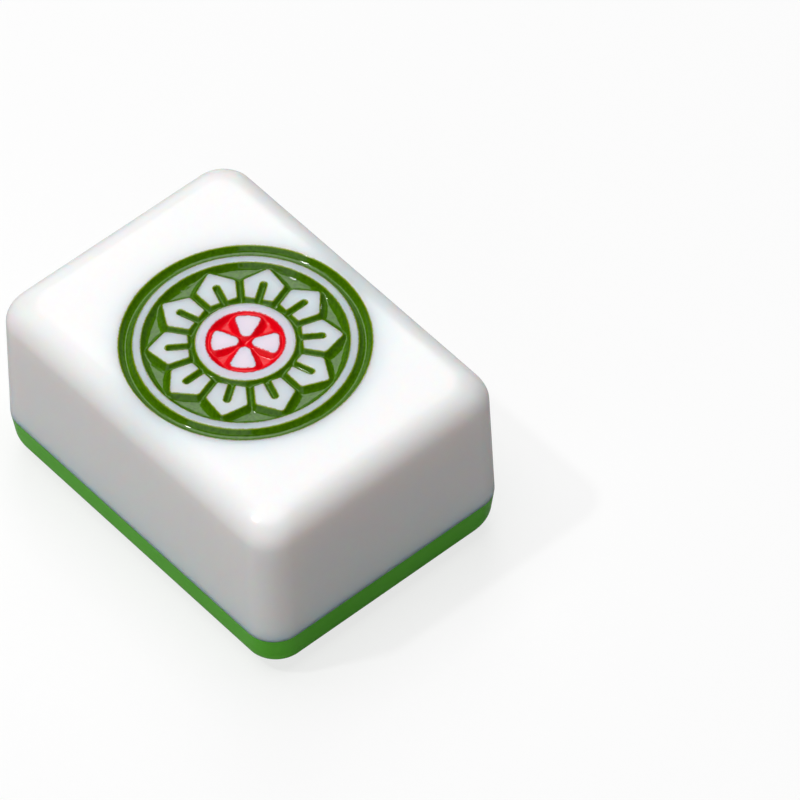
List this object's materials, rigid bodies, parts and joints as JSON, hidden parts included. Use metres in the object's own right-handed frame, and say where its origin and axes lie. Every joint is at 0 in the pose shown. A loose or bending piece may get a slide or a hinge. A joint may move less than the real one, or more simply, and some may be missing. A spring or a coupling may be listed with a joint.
{
  "type": "mahjong tile",
  "caption": "Rounded mahjong tile: a white block on a green back, with a circle ornament carved and enamelled in its face and a hatched relief on its back.",
  "frame": {"origin": "middle of the back, on the plane of the tops of the relief, where the tile lies on a table", "axes": "+Z out of the carved face, +Y along the tile, +X across it"},
  "size_m": [0.032, 0.0438, 0.0227],
  "materials": {
    "white_block": "polished white melamine, slightly translucent, with a soft gloss",
    "green_back": "leaf-green melamine, smooth on the sides and frosted on the relief",
    "green_enamel": "glossy dark green enamel, brushed into the recesses and wiped off the face",
    "red_enamel": "glossy red enamel, brushed into the recess and wiped off the face"
  },
  "bodies": {
    "root": {"white_block": "white_block", "green_back": "green_back", "ring_enamel": "green_enamel", "flower_enamel": "green_enamel", "centre_enamel": "red_enamel"}
  },
  "joints": []
}
